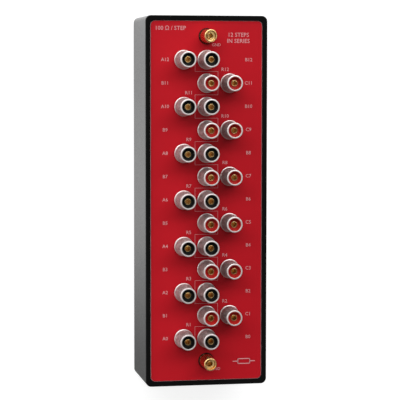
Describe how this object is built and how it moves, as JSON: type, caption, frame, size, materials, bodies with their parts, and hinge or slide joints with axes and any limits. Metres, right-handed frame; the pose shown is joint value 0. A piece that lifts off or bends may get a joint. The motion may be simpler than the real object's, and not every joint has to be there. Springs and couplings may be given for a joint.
{
  "type": "standard resistor",
  "caption": "Long black instrument case with a red panel that carries a zigzag of knurled binding posts in pairs, with black or red centres, and a gilt ground post at each end.",
  "frame": {"origin": "the middle of the footprint, on the plane of the feet", "axes": "+Z out of the panel, +Y along the case towards the highest step, +X across it"},
  "size_m": [0.101, 0.3038, 0.0955],
  "materials": {
    "black_paint": "smooth glossy black paint on a cast case",
    "red_laminate": "satin red sheet with white engraving",
    "dark_laminate": "dark phenolic sheet",
    "brown_laminate": "brown phenolic sheet",
    "black_plastic": "moulded black plastic",
    "red_plastic": "moulded red plastic",
    "nickel": "nickel plate over fine knurling, polished at the rim",
    "gilt": "gold plate over copper alloy",
    "brass": "plain turned brass",
    "copper": "bare copper",
    "steel": "plated steel",
    "bobbin": "enamelled copper wire wound on a moulded bobbin",
    "rubber": "moulded black rubber"
  },
  "bodies": {
    "case_body": {"case": "black_paint", "front_panel": "red_laminate", "terminal_plate": "dark_laminate", "plate_screws": "steel", "post_studs": "gilt", "post_bushes": "black_plastic", "post_washers": "black_plastic", "stud_nuts": "gilt", "junction_bars": "copper", "ground_studs": "gilt", "ground_straps": "copper", "strap_screws": "steel", "resistor_board": "brown_laminate", "board_pillars": "brass", "board_screws": "steel", "bobbin_screws": "steel", "resistor_leads": "copper", "resistor_1": "bobbin", "resistor_2": "bobbin", "resistor_3": "bobbin", "resistor_4": "bobbin", "resistor_5": "bobbin", "resistor_6": "bobbin", "resistor_7": "bobbin", "resistor_8": "bobbin", "resistor_9": "bobbin", "resistor_10": "bobbin", "resistor_11": "bobbin", "resistor_12": "bobbin", "feet": "rubber", "foot_screws": "steel"},
    "knob_a0": {"knob_a0": "nickel"},
    "knob_b0": {"knob_b0": "nickel"},
    "knob_b1": {"knob_b1": "nickel"},
    "knob_c1": {"knob_c1": "nickel"},
    "knob_a2": {"knob_a2": "nickel"},
    "knob_b2": {"knob_b2": "nickel"},
    "knob_b3": {"knob_b3": "nickel"},
    "knob_c3": {"knob_c3": "nickel"},
    "knob_a4": {"knob_a4": "nickel"},
    "knob_b4": {"knob_b4": "nickel"},
    "knob_b5": {"knob_b5": "nickel"},
    "knob_c5": {"knob_c5": "nickel"},
    "knob_a6": {"knob_a6": "nickel"},
    "knob_b6": {"knob_b6": "nickel"},
    "knob_b7": {"knob_b7": "nickel"},
    "knob_c7": {"knob_c7": "nickel"},
    "knob_a8": {"knob_a8": "nickel"},
    "knob_b8": {"knob_b8": "nickel"},
    "knob_b9": {"knob_b9": "nickel"},
    "knob_c9": {"knob_c9": "nickel"},
    "knob_a10": {"knob_a10": "nickel"},
    "knob_b10": {"knob_b10": "nickel"},
    "knob_b11": {"knob_b11": "nickel"},
    "knob_c11": {"knob_c11": "nickel"},
    "knob_a12": {"knob_a12": "nickel"},
    "knob_b12": {"knob_b12": "nickel"},
    "ground_knob_low": {"ground_knob_low": "gilt"},
    "ground_knob_high": {"ground_knob_high": "gilt"}
  },
  "joints": [
    {"name": "knob_a0_travel", "type": "slide", "parent": "case_body", "child": "knob_a0", "axis": [0, 0, 1], "range_m": [0, 0.006]},
    {"name": "knob_b0_travel", "type": "slide", "parent": "case_body", "child": "knob_b0", "axis": [0, 0, 1], "range_m": [0, 0.006]},
    {"name": "knob_b1_travel", "type": "slide", "parent": "case_body", "child": "knob_b1", "axis": [0, 0, 1], "range_m": [0, 0.006]},
    {"name": "knob_c1_travel", "type": "slide", "parent": "case_body", "child": "knob_c1", "axis": [0, 0, 1], "range_m": [0, 0.006]},
    {"name": "knob_a2_travel", "type": "slide", "parent": "case_body", "child": "knob_a2", "axis": [0, 0, 1], "range_m": [0, 0.006]},
    {"name": "knob_b2_travel", "type": "slide", "parent": "case_body", "child": "knob_b2", "axis": [0, 0, 1], "range_m": [0, 0.006]},
    {"name": "knob_b3_travel", "type": "slide", "parent": "case_body", "child": "knob_b3", "axis": [0, 0, 1], "range_m": [0, 0.006]},
    {"name": "knob_c3_travel", "type": "slide", "parent": "case_body", "child": "knob_c3", "axis": [0, 0, 1], "range_m": [0, 0.006]},
    {"name": "knob_a4_travel", "type": "slide", "parent": "case_body", "child": "knob_a4", "axis": [0, 0, 1], "range_m": [0, 0.006]},
    {"name": "knob_b4_travel", "type": "slide", "parent": "case_body", "child": "knob_b4", "axis": [0, 0, 1], "range_m": [0, 0.006]},
    {"name": "knob_b5_travel", "type": "slide", "parent": "case_body", "child": "knob_b5", "axis": [0, 0, 1], "range_m": [0, 0.006]},
    {"name": "knob_c5_travel", "type": "slide", "parent": "case_body", "child": "knob_c5", "axis": [0, 0, 1], "range_m": [0, 0.006]},
    {"name": "knob_a6_travel", "type": "slide", "parent": "case_body", "child": "knob_a6", "axis": [0, 0, 1], "range_m": [0, 0.006]},
    {"name": "knob_b6_travel", "type": "slide", "parent": "case_body", "child": "knob_b6", "axis": [0, 0, 1], "range_m": [0, 0.006]},
    {"name": "knob_b7_travel", "type": "slide", "parent": "case_body", "child": "knob_b7", "axis": [0, 0, 1], "range_m": [0, 0.006]},
    {"name": "knob_c7_travel", "type": "slide", "parent": "case_body", "child": "knob_c7", "axis": [0, 0, 1], "range_m": [0, 0.006]},
    {"name": "knob_a8_travel", "type": "slide", "parent": "case_body", "child": "knob_a8", "axis": [0, 0, 1], "range_m": [0, 0.006]},
    {"name": "knob_b8_travel", "type": "slide", "parent": "case_body", "child": "knob_b8", "axis": [0, 0, 1], "range_m": [0, 0.006]},
    {"name": "knob_b9_travel", "type": "slide", "parent": "case_body", "child": "knob_b9", "axis": [0, 0, 1], "range_m": [0, 0.006]},
    {"name": "knob_c9_travel", "type": "slide", "parent": "case_body", "child": "knob_c9", "axis": [0, 0, 1], "range_m": [0, 0.006]},
    {"name": "knob_a10_travel", "type": "slide", "parent": "case_body", "child": "knob_a10", "axis": [0, 0, 1], "range_m": [0, 0.006]},
    {"name": "knob_b10_travel", "type": "slide", "parent": "case_body", "child": "knob_b10", "axis": [0, 0, 1], "range_m": [0, 0.006]},
    {"name": "knob_b11_travel", "type": "slide", "parent": "case_body", "child": "knob_b11", "axis": [0, 0, 1], "range_m": [0, 0.006]},
    {"name": "knob_c11_travel", "type": "slide", "parent": "case_body", "child": "knob_c11", "axis": [0, 0, 1], "range_m": [0, 0.006]},
    {"name": "knob_a12_travel", "type": "slide", "parent": "case_body", "child": "knob_a12", "axis": [0, 0, 1], "range_m": [0, 0.006]},
    {"name": "knob_b12_travel", "type": "slide", "parent": "case_body", "child": "knob_b12", "axis": [0, 0, 1], "range_m": [0, 0.006]},
    {"name": "ground_knob_low_travel", "type": "slide", "parent": "case_body", "child": "ground_knob_low", "axis": [0, 0, 1], "range_m": [0, 0.006]},
    {"name": "ground_knob_high_travel", "type": "slide", "parent": "case_body", "child": "ground_knob_high", "axis": [0, 0, 1], "range_m": [0, 0.006]}
  ]
}
